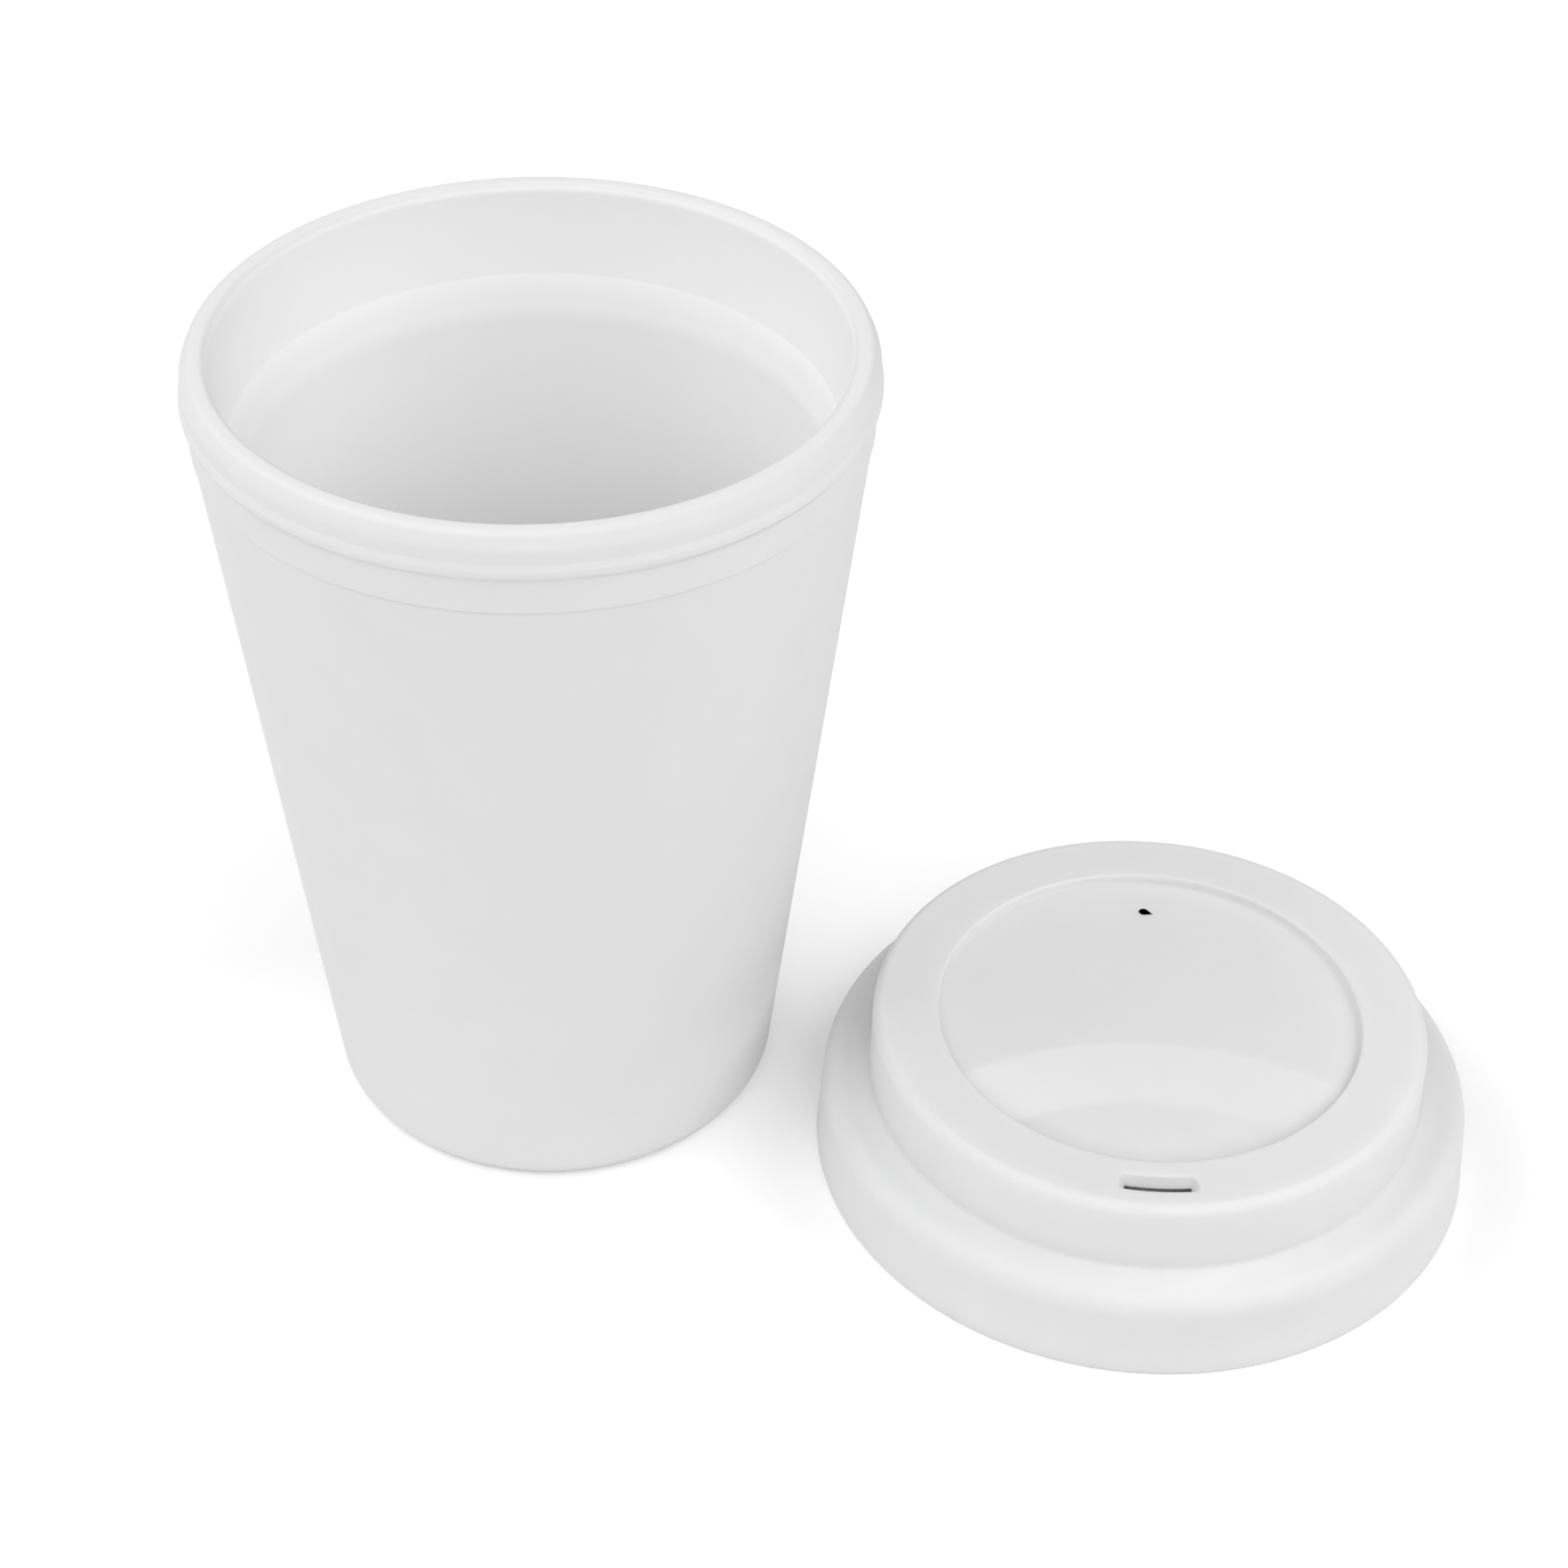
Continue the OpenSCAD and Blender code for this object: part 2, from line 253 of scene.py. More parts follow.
def rounded(corners, step=math.radians(7.5)):
    """Points of an outline whose corners, given as (x, y, radius), are rounded by arcs."""
    points = []
    count = len(corners)
    for i, (x, y, radius) in enumerate(corners):
        here = Vector((x, y))
        if radius == 0:
            points.append(here)
            continue
        to_last = unit(Vector(corners[i - 1][:2]) - here)
        to_next = unit(Vector(corners[(i + 1) % count][:2]) - here)
        half = math.acos(max(-1, min(1, to_last.dot(to_next)))) / 2
        sweep = math.pi - 2 * half
        side = -1 if to_last.x * to_next.y - to_last.y * to_next.x > 0 else 1
        centre = here + unit(to_last + to_next) * radius / math.sin(half)
        start = here + to_last * radius / math.tan(half) - centre
        steps = max(2, math.ceil(sweep / step))
        for k in range(steps + 1):
            arm = start.copy()
            arm.rotate(Matrix.Rotation(side * sweep * k / steps, 2))
            points.append(centre + arm)
    return points


def eased(points, near=0.25 * MM, longest=8 * MM):
    """The same line with points close to the ends of its flats, so that they shade flat."""
    out = [points[0]]
    for a, b in zip(points, points[1:]):
        span = (b - a).length
        if span > 4 * near:
            inner = span - 2 * near
            pieces = math.ceil(inner / longest)
            for k in range(pieces + 1):
                out.append(a.lerp(b, (near + inner * k / pieces) / span))
        out.append(b)
    return out


def add(tree, kind, inputs=None, **settings):
    """Adds a node with its settings, and gives its inputs values or links."""
    node = tree.nodes.new(kind)
    for key, value in settings.items():
        setattr(node, key, value)
    for key, value in (inputs or {}).items():
        if isinstance(value, bpy.types.NodeSocket):
            tree.links.new(value, node.inputs[key])
        else:
            node.inputs[key].default_value = value
    return node


def turning_tree():
    """Geometry Nodes that turn a section, a line of points in the XZ plane, round the Z axis."""
    tree = bpy.data.node_groups.new("turn_section", "GeometryNodeTree")
    tree.interface.new_socket("Geometry", in_out="OUTPUT", socket_type="NodeSocketGeometry")
    tree.interface.new_socket("Section", in_out="INPUT", socket_type="NodeSocketGeometry")
    tree.interface.new_socket("Segments", in_out="INPUT", socket_type="NodeSocketInt")
    tree.interface.new_socket("Crease angle", in_out="INPUT", socket_type="NodeSocketFloat")
    tree.interface.new_socket("Material", in_out="INPUT", socket_type="NodeSocketMaterial")
    given = add(tree, "NodeGroupInput").outputs
    size = add(tree, "GeometryNodeAttributeDomainSize", {0: given["Section"]}, component="MESH")
    points = size.outputs["Point Count"]
    columns = add(tree, "ShaderNodeMath", {0: given["Segments"], 1: 1.0}, operation="ADD")
    grid = add(tree, "GeometryNodeMeshGrid", {
        "Size X": 1.0, "Size Y": 1.0, "Vertices X": columns.outputs[0], "Vertices Y": points})
    index = add(tree, "GeometryNodeInputIndex").outputs[0]
    along = add(tree, "ShaderNodeMath", {0: index, 1: points}, operation="MODULO")
    share = add(tree, "ShaderNodeMath", {0: index, 1: points}, operation="DIVIDE")
    column = add(tree, "ShaderNodeMath", {0: share.outputs[0]}, operation="FLOOR")
    turn = add(tree, "ShaderNodeMath", {0: column.outputs[0], 1: given["Segments"]},
               operation="DIVIDE")
    angle = add(tree, "ShaderNodeMath", {0: turn.outputs[0], 1: 2 * math.pi},
                operation="MULTIPLY")
    place = add(tree, "GeometryNodeInputPosition").outputs[0]
    section = add(tree, "GeometryNodeSampleIndex", {
        "Geometry": given["Section"], "Value": place, "Index": along.outputs[0]},
        data_type="FLOAT_VECTOR", domain="POINT")
    parts = add(tree, "ShaderNodeSeparateXYZ", {0: section.outputs[0]}).outputs
    turned = add(tree, "ShaderNodeVectorRotate", {
        "Vector": add(tree, "ShaderNodeCombineXYZ", {0: parts[0], 2: parts[2]}).outputs[0],
        "Angle": angle.outputs[0]}, rotation_type="Z_AXIS")
    moved = add(tree, "GeometryNodeSetPosition", {
        "Geometry": grid.outputs["Mesh"], "Position": turned.outputs[0]})
    closed = add(tree, "GeometryNodeMergeByDistance", {
        "Geometry": moved.outputs[0], "Distance": WELD})
    smooth = add(tree, "GeometryNodeSetShadeSmooth", {"Geometry": closed.outputs[0]},
                 domain="FACE")
    bend = add(tree, "GeometryNodeInputMeshEdgeAngle").outputs["Unsigned Angle"]
    crease = add(tree, "FunctionNodeCompare", {0: bend, 1: given["Crease angle"]},
                 data_type="FLOAT", operation="GREATER_THAN")
    creased = add(tree, "GeometryNodeSetShadeSmooth", {
        "Geometry": smooth.outputs[0], "Selection": crease.outputs[0], "Shade Smooth": False},
        domain="EDGE")
    real = add(tree, "GeometryNodeRealizeInstances", {"Geometry": creased.outputs[0]})
    coated = add(tree, "GeometryNodeSetMaterial", {
        "Geometry": real.outputs[0], "Material": given["Material"]})
    add(tree, "NodeGroupOutput", {0: coated.outputs[0]})
    return tree


def turned_piece(name, points, segments, material):
    """A plain mesh turned from a section of (radius, height) points."""
    mesh = bpy.data.meshes.new(name)
    mesh.from_pydata([(p.x, 0, p.y) for p in points],
                     [(i, i + 1) for i in range(len(points) - 1)], [])
    piece = bpy.data.objects.new(name, mesh)
    bpy.context.scene.collection.objects.link(piece)
    tree = bpy.data.node_groups.get("turn_section") or turning_tree()
    sockets = {s.name: s.identifier for s in tree.interface.items_tree if s.in_out == "INPUT"}
    turning = piece.modifiers.new("Turn section", "NODES")
    turning.node_group = tree
    turning[sockets["Segments"]] = segments
    turning[sockets["Crease angle"]] = CREASE
    turning[sockets["Material"]] = material
    ready = piece.evaluated_get(bpy.context.evaluated_depsgraph_get())
    solid = bpy.data.meshes.new_from_object(ready)
    piece.modifiers.remove(turning)
    piece.data = solid
    solid.name = name
    return piece


def cup_form(s):
    """Radii and heights that the inner cup and the outer shell share."""
    f = SimpleNamespace()
    f.lip_r = s.bead_radius - s.bead_out
    f.lip_in_r = f.lip_r - s.lip_width
    f.collar_r = f.lip_r + s.collar_out
    f.collar_low_r = f.collar_r - COLLAR_DRAFT
    f.shell_top_r = f.collar_low_r - s.seam_step
    f.slope = (f.shell_top_r - s.foot_radius) / s.seam_height
    f.shell_r = lambda z: s.foot_radius + f.slope * z
    set_in = s.shell_wall + s.air_gap + s.inner_wall
    f.upper_r = lambda z: f.lip_in_r - f.slope * (s.height - z)
    f.lower_r = lambda z: f.shell_r(z) - set_in
    f.band_r = lambda z: f.shell_r(z) - s.shell_wall - s.seat_play
    f.shell_floor_z = s.foot_hollow + s.shell_wall
    f.under_z = f.shell_floor_z + s.air_gap
    f.floor_z = f.under_z + s.inner_wall
    return f


def inner_cup_section(s):
    """The inner cup's section, from under its floor, up outside and down inside."""
    f = cup_form(s)
    top, seam = s.height, s.seam_height
    shoulder_top = top - s.shoulder_depth
    shoulder_low = shoulder_top - s.shoulder_height
    band_low = seam - s.seat_height
    return rounded([
        (0, f.under_z, 0),
        (f.lower_r(f.under_z) + s.inner_wall, f.under_z, s.floor_edge + s.inner_wall),
        (f.lower_r(shoulder_low) + s.inner_wall, shoulder_low, SHOULDER_BACK_EDGE),
        (f.band_r(band_low), band_low, BAND_EDGE),
        (f.band_r(seam), seam, 0),
        (f.collar_low_r, seam, SEAM_EDGE),
        (f.collar_r, top - s.bead_end - BEAD_SLOPE, COLLAR_EDGE),
        (s.bead_radius, top - s.bead_end, BEAD_LOW_EDGE),
        (s.bead_radius, top - s.bead_crest, BEAD_CREST_EDGE),
        (s.bead_radius - s.notch_in, top - s.notch_depth, NOTCH_EDGE),
        (s.bead_radius - s.notch_in, top - s.swell_depth, SWELL_EDGE),
        (f.lip_r, top, LIP_OUT_EDGE),
        (f.lip_in_r, top, LIP_IN_SHARE * s.lip_width),
        (f.upper_r(shoulder_top), shoulder_top, SHOULDER_TOP_EDGE),
        (f.lower_r(shoulder_low), shoulder_low, SHOULDER_LOW_EDGE),
        (f.lower_r(f.floor_z), f.floor_z, s.floor_edge),
        (0, f.floor_z, 0),
    ])


def outer_shell_section(s):
    """The shell's section, from under the foot, up outside and down inside."""
    f = cup_form(s)
    ring_in = s.foot_radius - s.foot_edge - s.foot_ring
    wall_top = f.shell_r(s.seam_height) - s.shell_wall
    return rounded([
        (0, s.foot_hollow, 0),
        (ring_in - s.foot_hollow, s.foot_hollow, HOLLOW_EDGE),
        (ring_in, 0, RING_EDGE),
        (s.foot_radius, 0, s.foot_edge),
        (f.shell_top_r, s.seam_height, SEAM_EDGE),
        (wall_top, s.seam_height, 0),
        (f.shell_r(f.shell_floor_z) - s.shell_wall, f.shell_floor_z, s.foot_edge),
        (0, f.shell_floor_z, 0),
    ])


def lid_form(s, cup):
    """Radii and heights of the lid; its inside follows the cup's rim."""
    rim = cup_form(cup)
    f = SimpleNamespace()
    f.tier_low_z = s.shoulder_z + s.shoulder_rise
    f.tier_top_z = s.height - s.tier_crown
    f.seat_z = s.shoulder_z - s.wall
    f.groove_r = cup.bead_radius - s.grip
    f.groove_low_z = f.seat_z - cup.bead_end
    f.snap_r = rim.collar_r - s.grip
    f.seal_out_r = rim.lip_in_r - rim.slope * s.seal_height - s.seal_play
    f.seal_low_z = f.seat_z - s.seal_height
    f.lead_in_r = cup.bead_radius + LEAD_IN_PLAY
    f.recess_z = s.height - s.recess_depth
    f.roof_z = s.height - s.wall
    f.ramp_centre = s.ramp_start + s.ramp_radius
    return f


def lid_section(s, f):
    """The turned part of the lid, from the recess's wall, over the outside, to the step below."""
    wall_in_r = s.tier_radius - s.wall
    corners = [
        (s.recess_radius, f.recess_z + FLOOR_FILLET, 0),
        (s.recess_radius, s.height, s.recess_edge),
        (s.tier_radius, f.tier_top_z, s.tier_edge),
        (s.tier_radius + s.tier_draft, f.tier_low_z, TIER_FOOT_EDGE),
        (s.radius - s.skirt_lean, s.shoulder_z, s.shoulder_edge),
        (s.radius, 0, SKIRT_EDGE),
        (f.lead_in_r, 0, LEAD_IN_EDGE),
        (f.snap_r, s.lead_in, UNDER_EDGE),
        (f.snap_r, f.groove_low_z - SNAP_BEVEL, UNDER_EDGE),
        (f.groove_r, f.groove_low_z, UNDER_EDGE),
        (f.groove_r, f.seat_z, GROOVE_EDGE),
        (f.seal_out_r, f.seat_z, UNDER_EDGE),
        (f.seal_out_r, f.seal_low_z, UNDER_EDGE),
        (f.seal_out_r - s.seal_width, f.seal_low_z, UNDER_EDGE),
        (wall_in_r, f.tier_low_z, TIER_INNER_EDGE),
        (wall_in_r, f.tier_top_z - s.wall, TIER_INNER_EDGE),
        (s.recess_radius + s.wall, f.roof_z, UNDER_EDGE),
        (s.recess_radius + s.wall, f.recess_z - s.wall + FLOOR_FILLET, 0),
    ]
    return eased(rounded(corners)[1:-1], longest=0.9 * MM)


def ramp_drop(s, reach):
    """How deep the floor lies at this distance from the ramp's centre, with soft bends."""
    def bent(t):
        if t <= -RAMP_BEND:
            return 0
        return t if t >= RAMP_BEND else (t + RAMP_BEND) ** 2 / (4 * RAMP_BEND)
    above = s.ramp_radius - reach
    return (bent(above) - bent(above - s.ramp_run)) * s.pocket_depth / s.ramp_run


def lid_angles(s, f):
    """Half the steps round the lid, from the slot's side, with some at the ramp's bends."""
    edge = s.recess_radius - FLOOR_FILLET
    half = s.segments // 2
    angles = [math.pi * i / half for i in range(half + 1)]
    for bend in (s.ramp_radius, s.ramp_radius - s.ramp_run):
        for share in (-1, -0.5, 0, 0.5, 1):
            reach = bend + share * RAMP_BEND
            cosine = (edge ** 2 + f.ramp_centre ** 2 - reach ** 2) / (2 * edge * f.ramp_centre)
            angles.append(math.acos(cosine))
    angles.sort()
    least = math.pi / half / 6
    kept = [angles[0]]
    for a in angles[1:]:
        if a - kept[-1] > least:
            kept.append(a)
    kept[-1] = math.pi
    return kept


def zip_between(bm, a, b, closed=False):
    """Joins two rows of vertices by triangles and quads, taking the shorter way across."""
    count_a, count_b = len(a) - (not closed), len(b) - (not closed)
    i = j = 0
    while i < count_a or j < count_b:
        a0, b0 = a[i % len(a)], b[j % len(b)]
        a1, b1 = a[(i + 1) % len(a)], b[(j + 1) % len(b)]
        step_a = (a1.co - b0.co).length if i < count_a else math.inf
        step_b = (b1.co - a0.co).length if j < count_b else math.inf
        if step_a <= step_b:
            bm.faces.new((a0, a1, b0))
            i += 1
        else:
            bm.faces.new((a0, b1, b0))
            j += 1


def lid_floor(bm, s, f, rim, drop, cell=0.9 * MM):
    """A floor or its underside, in rows that follow the ramp, inside the rim's vertices."""
    half = len(rim) // 2
    last = [rim[0]]
    for i in range(1, half + 1):
        right = rim[i]
        left = rim[-i] if i < half else right
        away = Vector((right.co.x, right.co.y + f.ramp_centre))
        reach, spread = away.length, math.atan2(away.x, away.y)
        steps = max(1, round(2 * reach * spread / cell))
        z = f.recess_z - ramp_drop(s, reach) - drop
        row = [left]
        for k in range(1, steps if i < half else 0):
            t = spread * (2 * k / steps - 1)
            row.append(bm.verts.new((reach * math.sin(t), reach * math.cos(t) - f.ramp_centre, z)))
        if i < half:
            row.append(right)
        zip_between(bm, last, row)
        last = row


def lid_rings(bm, s, f):
    """All rings of the lid's vertices, from the floor's rim round the outside to below it."""
    half = lid_angles(s, f)
    angles = half + [2 * math.pi - a for a in reversed(half[1:-1])]

    def ring(radius, height):
        return [bm.verts.new((radius(a) * math.sin(a), -radius(a) * math.cos(a), height(a)))
                for a in angles]

    def floor_z(edge, drop):
        def at(a):
            reach = math.hypot(edge * math.sin(a), f.ramp_centre - edge * math.cos(a))
            return f.recess_z - ramp_drop(s, reach) - drop
        return at

    section = lid_section(s, f)
    rings = []
    steps = 4
    for wall_r, drop, to_z in ((s.recess_radius, 0, section[0].y),
                               (s.recess_radius + s.wall, s.wall, section[-1].y)):
        edge = wall_r - FLOOR_FILLET
        low = floor_z(edge, drop)
        part = []
        for k in range(steps + 1):
            t = math.pi / 2 * k / steps
            out, up = math.sin(t), 1 - math.cos(t)
            part.append(ring(lambda a, o=out: edge + FLOOR_FILLET * o,
                             lambda a, u=up: low(a) + FLOOR_FILLET * u))
        for share in (0.15, 0.5, 0.85):
            part.append(ring(lambda a: wall_r,
                             lambda a, t=share: (low(a) + FLOOR_FILLET) * (1 - t) + to_z * t))
        rings.append(part)
    turned = [ring(lambda a, p=p: p.x, lambda a, p=p: p.y) for p in section]
    return rings[0] + turned + rings[1][::-1]


def slot_outline(s, out):
    """The slot's outline, grown by a distance and bent round the lid's middle."""
    along, across = s.slot_length / 2 + out, s.slot_width / 2 + out
    corner = s.slot_corner + out
    flat = rounded([(-along, -across, corner), (along, -across, corner),
                    (along, across, corner), (-along, across, corner)],
                   step=math.radians(15))
    points = []
    sides = 12
    for a, b in zip(flat, flat[1:] + flat[:1]):
        points.append(a)
        if (b - a).length > s.slot_length / 2:
            points.extend(a.lerp(b, k / sides) for k in range(1, sides))
    return [(math.sin(p.x / s.slot_radius) * (s.slot_radius + p.y),
             -math.cos(p.x / s.slot_radius) * (s.slot_radius + p.y)) for p in points]


def vent_outline(s, out, steps=32):
    """The vent's outline, grown by a distance."""
    r = s.vent_width / 2 + out
    return [(r * math.sin(2 * math.pi * k / steps),
             s.vent_radius - r * math.cos(2 * math.pi * k / steps)) for k in range(steps)]


def winding(points):
    """Twice the area inside a loop, positive if it runs against the clock."""
    return sum(a[0] * b[1] - a[1] * b[0] for a, b in zip(points, points[1:] + points[:1]))


def holds(loop, x, y):
    """Whether a point lies inside a loop."""
    inside = False
    for (ax, ay), (bx, by) in zip(loop, loop[1:] + loop[:1]):
        if (ay > y) != (by > y) and x < ax + (bx - ax) * (y - ay) / (by - ay):
            inside = not inside
    return inside


def opened_rim(bm, loop, up):
    """Takes out the faces in a loop that face up or down, and gives the rim they leave."""
    level_enough = 0.7
    taken = [face for face in bm.faces if face.normal.z * up > level_enough
             and any(holds(loop, v.co.x, v.co.y) for v in face.verts)]
    chosen = set(taken)
    edges = {e for face in taken for e in face.edges
             if sum(g in chosen for g in e.link_faces) == 1}
    start = next(iter(sorted(edges, key=lambda e: e.index)))
    rim, at = [start.verts[0]], start.verts[1]
    edges.discard(start)
    while at is not rim[0]:
        rim.append(at)
        step = next(e for e in at.link_edges if e in edges)
        edges.discard(step)
        at = step.other_vert(at)
    bmesh.ops.delete(bm, geom=taken, context="FACES")
    if winding([(v.co.x, v.co.y) for v in rim]) < 0:
        rim.reverse()
    return rim


def pierce(bm, outline, top_z, low_z, softs, clear, draft):
    """Cuts a hole with rounded edges through the lid's top, narrower below by the draft."""
    steps = 5
    loops = []
    for side, level, soft, less in ((1, top_z, softs[0], 0), (-1, low_z, softs[1], draft)):
        part = []
        for k in range(steps + 1):
            t = math.pi / 2 * k / steps
            out, deep = soft * (1 - math.sin(t)), soft * (1 - math.cos(t))
            loop = outline(out - less)
            part.append([bm.verts.new((x, y, level(math.hypot(x, y)) - side * deep))
                         for x, y in loop])
        loops += part if side > 0 else part[::-1]
    grown = outline(max(softs) + clear)
    for rim_side, ends in ((1, loops[0]), (-1, loops[-1])):
        bm.edges.index_update()
        rim = opened_rim(bm, grown, rim_side)
        ring = ends if winding([(v.co.x, v.co.y) for v in ends]) > 0 else ends[::-1]
        near = min(range(len(rim)), key=lambda i: (rim[i].co - ring[0].co).length)
        zip_between(bm, rim[near:] + rim[:near], ring, closed=True)
    for a, b in zip(loops, loops[1:]):
        for k in range(len(a)):
            n = (k + 1) % len(a)
            bm.faces.new((a[k], a[n], b[n], b[k]))


def lid_mesh(s, cup):
    """The whole lid as one closed mesh, where it lies on the ground."""
    f = lid_form(s, cup)
    bm = bmesh.new()
    rings = lid_rings(bm, s, f)
    for a, b in zip(rings, rings[1:]):
        for k in range(len(a)):
            n = (k + 1) % len(a)
            bm.faces.new((a[k], a[n], b[n], b[k]))
    lid_floor(bm, s, f, rings[0], 0)
    lid_floor(bm, s, f, rings[-1], s.wall)
    bmesh.ops.recalc_face_normals(bm, faces=bm.faces)

    def crown_z(r):
        share = (r - s.recess_radius) / (s.tier_radius - s.recess_radius)
        return s.height - s.tier_crown * share

    def roof_z(r):
        start = s.recess_radius + s.wall
        share = (r - start) / (s.tier_radius - s.wall - start)
        return f.roof_z - s.tier_crown * share

    pierce(bm, lambda out: slot_outline(s, out), crown_z, roof_z,
           SLOT_SOFTS, SLOT_CLEAR, SLOT_DRAFT)
    pierce(bm, lambda out: vent_outline(s, out), lambda r: f.recess_z,
           lambda r: f.recess_z - s.wall, VENT_SOFTS, VENT_CLEAR, VENT_DRAFT)
    bmesh.ops.recalc_face_normals(bm, faces=bm.faces)
    for face in bm.faces:
        face.smooth = True
    for edge in bm.edges:
        edge.smooth = len(edge.link_faces) == 2 and edge.calc_face_angle() < CREASE
    place = Matrix.Translation(s.centre) @ Matrix.Rotation(s.turn, 4, "Z")
    bmesh.ops.transform(bm, matrix=place, verts=bm.verts)
    mesh = bpy.data.meshes.new("sip_lid")
    bm.to_mesh(mesh)
    bm.free()
    return mesh


def surface_pattern(tree, grain, cloud):
    """Fine grain and soft clouding in object space, at real sizes in metres."""
    place = add(tree, "ShaderNodeTexCoord").outputs["Object"]
    fine = add(tree, "ShaderNodeTexNoise", {
        "Vector": place, "Scale": 1 / grain, "Detail": 3.0, "Roughness": 0.6})
    soft = add(tree, "ShaderNodeTexNoise", {
        "Vector": place, "Scale": 1 / cloud, "Detail": 2.0, "Roughness": 0.5})
    return fine.outputs["Fac"], soft.outputs["Fac"]


def between(tree, factor, low, high):
    """A value that runs from low to high as a pattern does."""
    return add(tree, "ShaderNodeMapRange", {
        "Value": factor, "From Min": 0.3, "From Max": 0.7, "To Min": low,
        "To Max": high}).outputs[0]


def tinted(tree, factor, base, shade):
    """The base colour, varied by a pattern down to a share of itself."""
    low = tuple(c * shade for c in base)
    mix = add(tree, "ShaderNodeMix", {"Factor": factor}, data_type="RGBA")
    mix.inputs["A"].default_value = (*low, 1)
    mix.inputs["B"].default_value = (*base, 1)
    return mix.outputs["Result"]


def moulded_polypropylene(base):
    """White polypropylene from a spark-eroded mould: dull outside, smoother and less grained
    inside.

    The eye sees a milky off-white with soft, broad highlights and faint clouding. The inside's
    colour is painted brighter, to stand in for light through the wall: a little everywhere inside,
    and most above its shoulder, where the wall is single.
    """
    material = bpy.data.materials.new("moulded_polypropylene")
    material.use_nodes = True
    tree = material.node_tree
    tree.nodes.clear()
    # The real grain is about 0.1 mm; it is drawn at 0.5 mm so that it shows.
    fine, soft = surface_pattern(tree, 0.5 * MM, 9 * MM)
    place = add(tree, "ShaderNodeTexCoord").outputs["Object"]
    facing = add(tree, "ShaderNodeNewGeometry").outputs["Normal"]
    flat = add(tree, "ShaderNodeVectorMath", {0: place, 1: (1, 1, 0)}, operation="MULTIPLY")
    outward = add(tree, "ShaderNodeVectorMath", {0: flat.outputs[0]}, operation="NORMALIZE")
    dot = add(tree, "ShaderNodeVectorMath", {0: outward.outputs[0], 1: facing},
              operation="DOT_PRODUCT")
    inside = add(tree, "ShaderNodeMapRange", {
        "Value": dot.outputs["Value"], "From Min": -0.6, "From Max": -0.95}).outputs[0]
    # Painted light: inward faces are painted brighter, at 0.4 of the full share below the shoulder
    # and fully above it, standing in for light through the wall
    height = add(tree, "ShaderNodeSeparateXYZ", {0: place}).outputs["Z"]
    single = add(tree, "ShaderNodeMapRange", {
        "Value": height, "From Min": SINGLE_LOW, "From Max": SINGLE_HIGH, "To Min": 0.4},
        interpolation_type="SMOOTHSTEP").outputs[0]
    painted_light_share = add(tree, "ShaderNodeMath", {0: inside, 1: single}, operation="MULTIPLY")
    tone = add(tree, "ShaderNodeMix", {
        "Factor": painted_light_share.outputs[0], "A": tinted(tree, between(tree, soft, 0, 1), base, 0.985)},
        data_type="RGBA")
    tone.inputs["B"].default_value = (*(min(PAINTED_LIGHT_CAP, c * PAINTED_LIGHT_GAIN) for c in base), 1)
    gloss = add(tree, "ShaderNodeMapRange", {
        "Value": inside, "To Min": 0.60, "To Max": 0.48}).outputs[0]
    rough = add(tree, "ShaderNodeMath", {0: gloss, 1: between(tree, fine, -0.03, 0.03)},
                operation="ADD")
    depth = add(tree, "ShaderNodeMapRange", {
        "Value": inside, "To Min": 0.30, "To Max": 0.05}).outputs[0]
    bump = add(tree, "ShaderNodeBump", {
        "Height": fine, "Strength": depth, "Distance": 0.03 * MM})
    shader = add(tree, "ShaderNodeBsdfPrincipled", {
        "Base Color": tone.outputs["Result"], "Roughness": rough.outputs[0], "IOR": 1.49,
        "Specular IOR Level": 0.3, "Normal": bump.outputs[0]})
    add(tree, "ShaderNodeOutputMaterial", {"Surface": shader.outputs[0]})
    return material


def moulded_silicone(base):
    """Compression-moulded silicone rubber with a dull, faintly velvety skin.

    The eye sees a soft white that hardly shines, with edges that let a little light in.
    """
    material = bpy.data.materials.new("moulded_silicone")
    material.use_nodes = True
    tree = material.node_tree
    tree.nodes.clear()
    # The real skin's grain is under 0.1 mm; it is drawn at 0.4 mm so that it shows.
    fine, soft = surface_pattern(tree, 0.4 * MM, 7 * MM)
    bump = add(tree, "ShaderNodeBump", {
        "Height": fine, "Strength": 0.25, "Distance": 0.03 * MM})
    shader = add(tree, "ShaderNodeBsdfPrincipled", {
        "Base Color": tinted(tree, between(tree, soft, 0, 1), base, 0.985),
        "Roughness": between(tree, fine, 0.50, 0.58), "IOR": 1.43,
        "Subsurface Weight": 0.5, "Subsurface Radius": (1.0, 0.97, 0.94),
        "Subsurface Scale": 2.5 * MM, "Sheen Weight": 0.05, "Sheen Roughness": 0.5,
        "Normal": bump.outputs[0]})
    add(tree, "ShaderNodeOutputMaterial", {"Surface": shader.outputs[0]})
    return material


def named_material(name, make, base):
    """The material of that name, made the first time it is asked for."""
    return bpy.data.materials.get(name) or make(tuple(base))


def seat(piece, node):
    """Lets a piece stand for its CAD node."""
    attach(piece, "root")
    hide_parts(node)


class CUP_OT_inner_cup(bpy.types.Operator):
    """Add the inner cup with its lip, bead and collar"""

    bl_idname = "cup.inner_cup"
    bl_label = "Add inner cup"

    def execute(self, context):
        s = context.scene.cup_sizes
        plastic = named_material("moulded_polypropylene", moulded_polypropylene,
                                 context.scene.cup_finish.polypropylene)
        piece = turned_piece("drinking_cup", eased(inner_cup_section(s)), s.segments, plastic)
        seat(piece, "inner_cup")
        return {"FINISHED"}


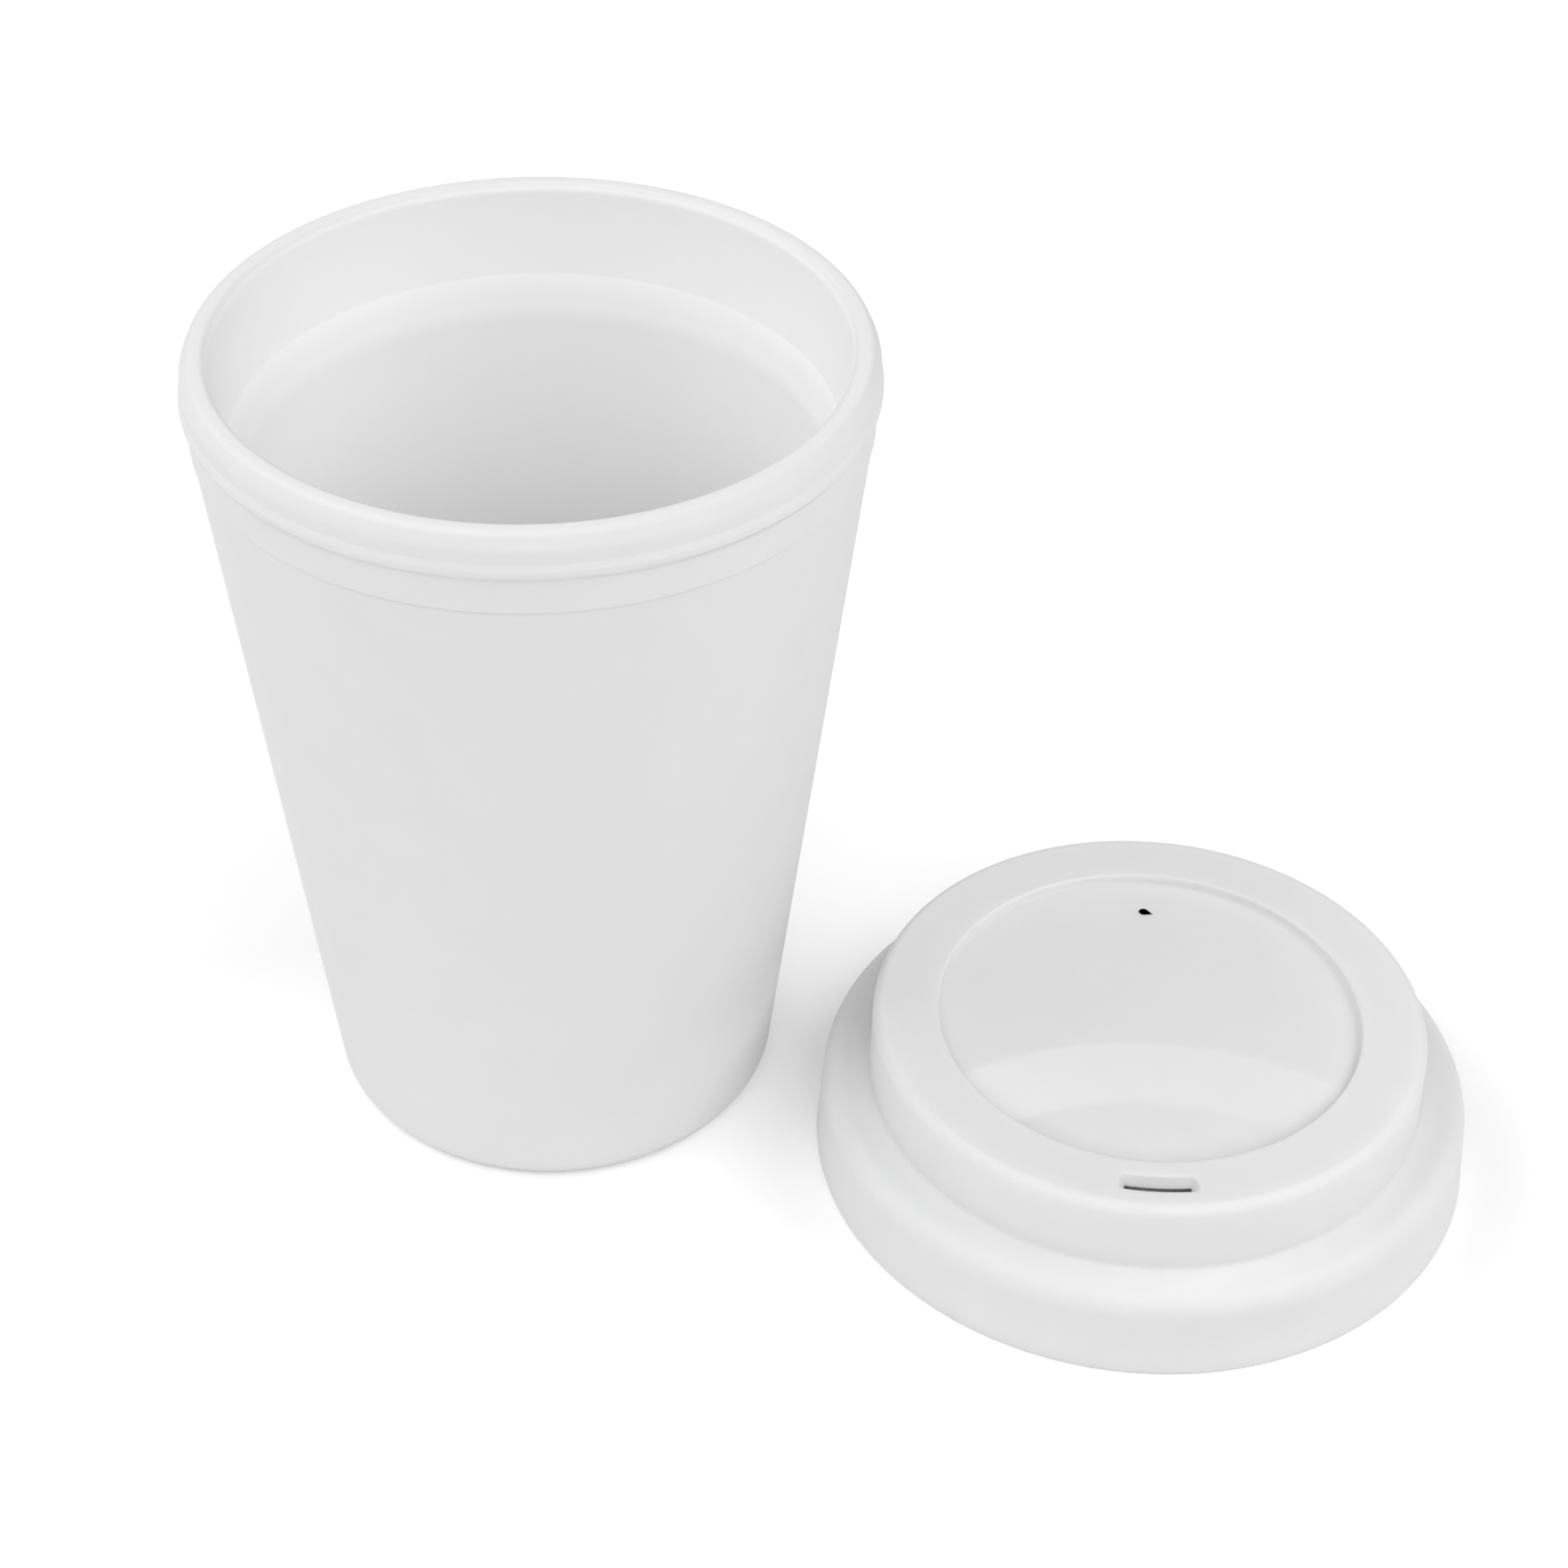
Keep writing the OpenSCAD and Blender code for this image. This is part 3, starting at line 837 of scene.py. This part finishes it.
class CUP_OT_outer_shell(bpy.types.Operator):
    """Add the outer shell with the foot"""

    bl_idname = "cup.outer_shell"
    bl_label = "Add outer shell"

    def execute(self, context):
        s = context.scene.cup_sizes
        plastic = named_material("moulded_polypropylene", moulded_polypropylene,
                                 context.scene.cup_finish.polypropylene)
        piece = turned_piece("foot_shell", eased(outer_shell_section(s)), s.segments, plastic)
        seat(piece, "outer_shell")
        return {"FINISHED"}


class CUP_OT_lid(bpy.types.Operator):
    """Add the sip lid, lying on its skirt"""

    bl_idname = "cup.lid"
    bl_label = "Add sip lid"

    def execute(self, context):
        mesh = lid_mesh(context.scene.lid_sizes, context.scene.cup_sizes)
        mesh.materials.append(named_material("moulded_silicone", moulded_silicone,
                                             context.scene.cup_finish.silicone))
        piece = bpy.data.objects.new("sip_lid", mesh)
        context.scene.collection.objects.link(piece)
        seat(piece, "lid")
        return {"FINISHED"}


def paper_floor(base):
    """White paper that takes soft shadows and looks pure white where no shadow falls."""
    material = bpy.data.materials.new("white_paper")
    material.use_nodes = True
    tree = material.node_tree
    tree.nodes.clear()
    paper = add(tree, "ShaderNodeBsdfDiffuse", {"Color": (*base, 1)})
    lift = add(tree, "ShaderNodeEmission", {"Color": (1, 1, 1, 1), "Strength": 0.18})
    seen = add(tree, "ShaderNodeAddShader", {0: paper.outputs[0], 1: lift.outputs[0]})
    path = add(tree, "ShaderNodeLightPath").outputs
    direct = add(tree, "ShaderNodeMath", {
        0: path["Is Camera Ray"], 1: path["Is Glossy Ray"]}, operation="MAXIMUM")
    shown = add(tree, "ShaderNodeMath", {
        0: direct.outputs[0], 1: path["Is Transmission Ray"]}, operation="MAXIMUM")
    mix = add(tree, "ShaderNodeMixShader", {
        0: shown.outputs[0], 1: paper.outputs[0], 2: seen.outputs[0]})
    add(tree, "ShaderNodeOutputMaterial", {"Surface": mix.outputs[0]})
    return material


def studio_world(strength):
    """Even white light, and a pure white surrounding where the camera sees it."""
    world = bpy.data.worlds.new("white_studio")
    world.use_nodes = True
    tree = world.node_tree
    tree.nodes.clear()
    path = add(tree, "ShaderNodeLightPath").outputs
    direct = add(tree, "ShaderNodeMath", {
        0: path["Is Camera Ray"], 1: path["Is Transmission Ray"]}, operation="MAXIMUM")
    level = add(tree, "ShaderNodeMapRange", {
        "Value": direct.outputs[0], "To Min": strength, "To Max": 1.0})
    light = add(tree, "ShaderNodeBackground", {
        "Color": (1, 1, 1, 1), "Strength": level.outputs[0]})
    add(tree, "ShaderNodeOutputWorld", {"Surface": light.outputs[0]})
    return world


def soft_light(name, turn, rise, watts, size=1.65, distance=2.5):
    """A square soft box that faces the pieces, turned from the camera's side to the right."""
    turn, rise = math.radians(turn), math.radians(rise)
    towards = Vector((math.sin(turn) * math.cos(rise), -math.cos(turn) * math.cos(rise),
                      math.sin(rise)))
    lamp = bpy.data.lights.new(name, "AREA")
    lamp.size = size
    lamp.energy = watts
    box = bpy.data.objects.new(name, lamp)
    box.location = AIM + towards * distance
    box.rotation_euler = (-towards).to_track_quat("-Z", "Y").to_euler()
    bpy.context.scene.collection.objects.link(box)


def photo_camera(s):
    """The camera, from its place and three angles."""
    level = Vector((math.sin(s.yaw), math.cos(s.yaw), 0))
    ahead = level * math.cos(s.pitch) - Vector((0, 0, math.sin(s.pitch)))
    right = Vector((math.cos(s.yaw), -math.sin(s.yaw), 0))
    down = ahead.cross(right)
    across = right * math.cos(s.roll) + down * math.sin(s.roll)
    below = down * math.cos(s.roll) - right * math.sin(s.roll)
    turn = Matrix((across, -below, -ahead)).transposed().to_4x4()
    lens = bpy.data.cameras.new("photo_camera")
    lens.lens = s.lens
    lens.sensor_width = 36
    camera = bpy.data.objects.new("photo_camera", lens)
    camera.matrix_world = Matrix.Translation(s.camera_place) @ turn
    bpy.context.scene.collection.objects.link(camera)
    bpy.context.scene.camera = camera


class CUP_OT_studio(bpy.types.Operator):
    """Add the paper floor, the soft lights and the camera"""

    bl_idname = "cup.studio"
    bl_label = "Add studio"

    def execute(self, context):
        s = context.scene.cup_studio
        mesh = bpy.data.meshes.new("floor")
        reach = 3.0
        mesh.from_pydata([(-reach, -reach, 0), (reach, -reach, 0), (reach, reach, 0),
                          (-reach, reach, 0)], [], [(0, 1, 2, 3)])
        mesh.materials.append(paper_floor(tuple(context.scene.cup_finish.floor)))
        floor = bpy.data.objects.new("floor", mesh)
        context.scene.collection.objects.link(floor)
        for name, (turn, rise) in LAMPS.items():
            soft_light(name + "_light", turn, rise, getattr(s, name))
        context.scene.world = studio_world(s.sky)
        context.scene.view_settings.view_transform = "Standard"
        photo_camera(s)
        return {"FINISHED"}


class CUP_PT_panel(bpy.types.Panel):
    """The cup's pieces and sizes in the 3D view's sidebar"""

    bl_idname = "CUP_PT_panel"
    bl_label = "Take-away cup"
    bl_space_type = "VIEW_3D"
    bl_region_type = "UI"
    bl_category = "Cup"

    def draw(self, context):
        for operator in OPERATORS:
            self.layout.operator(operator.bl_idname)
        for group, holder in GROUPS.items():
            box = self.layout.box()
            for name in holder.__annotations__:
                box.prop(getattr(context.scene, group), name)


OPERATORS = (CUP_OT_studio, CUP_OT_inner_cup, CUP_OT_outer_shell, CUP_OT_lid)
GROUPS = {"cup_sizes": CupSizes, "lid_sizes": LidSizes, "cup_finish": Finish,
          "cup_studio": StudioSizes}


def register():
    """Registers the classes and hangs their settings on the scene."""
    for holder in GROUPS.values():
        bpy.utils.register_class(holder)
    for operator in OPERATORS:
        bpy.utils.register_class(operator)
    bpy.utils.register_class(CUP_PT_panel)
    for group, holder in GROUPS.items():
        setattr(bpy.types.Scene, group, PointerProperty(type=holder))


def unregister():
    """Takes back what register did."""
    for group in GROUPS:
        delattr(bpy.types.Scene, group)
    bpy.utils.unregister_class(CUP_PT_panel)
    for operator in reversed(OPERATORS):
        bpy.utils.unregister_class(operator)
    for holder in reversed(GROUPS.values()):
        bpy.utils.unregister_class(holder)


def main():
    """Builds every piece."""
    register()
    bpy.ops.cup.studio()
    bpy.ops.cup.inner_cup()
    bpy.ops.cup.outer_shell()
    bpy.ops.cup.lid()
    bpy.context.view_layer.update()


if __name__ == "__main__":
    main()
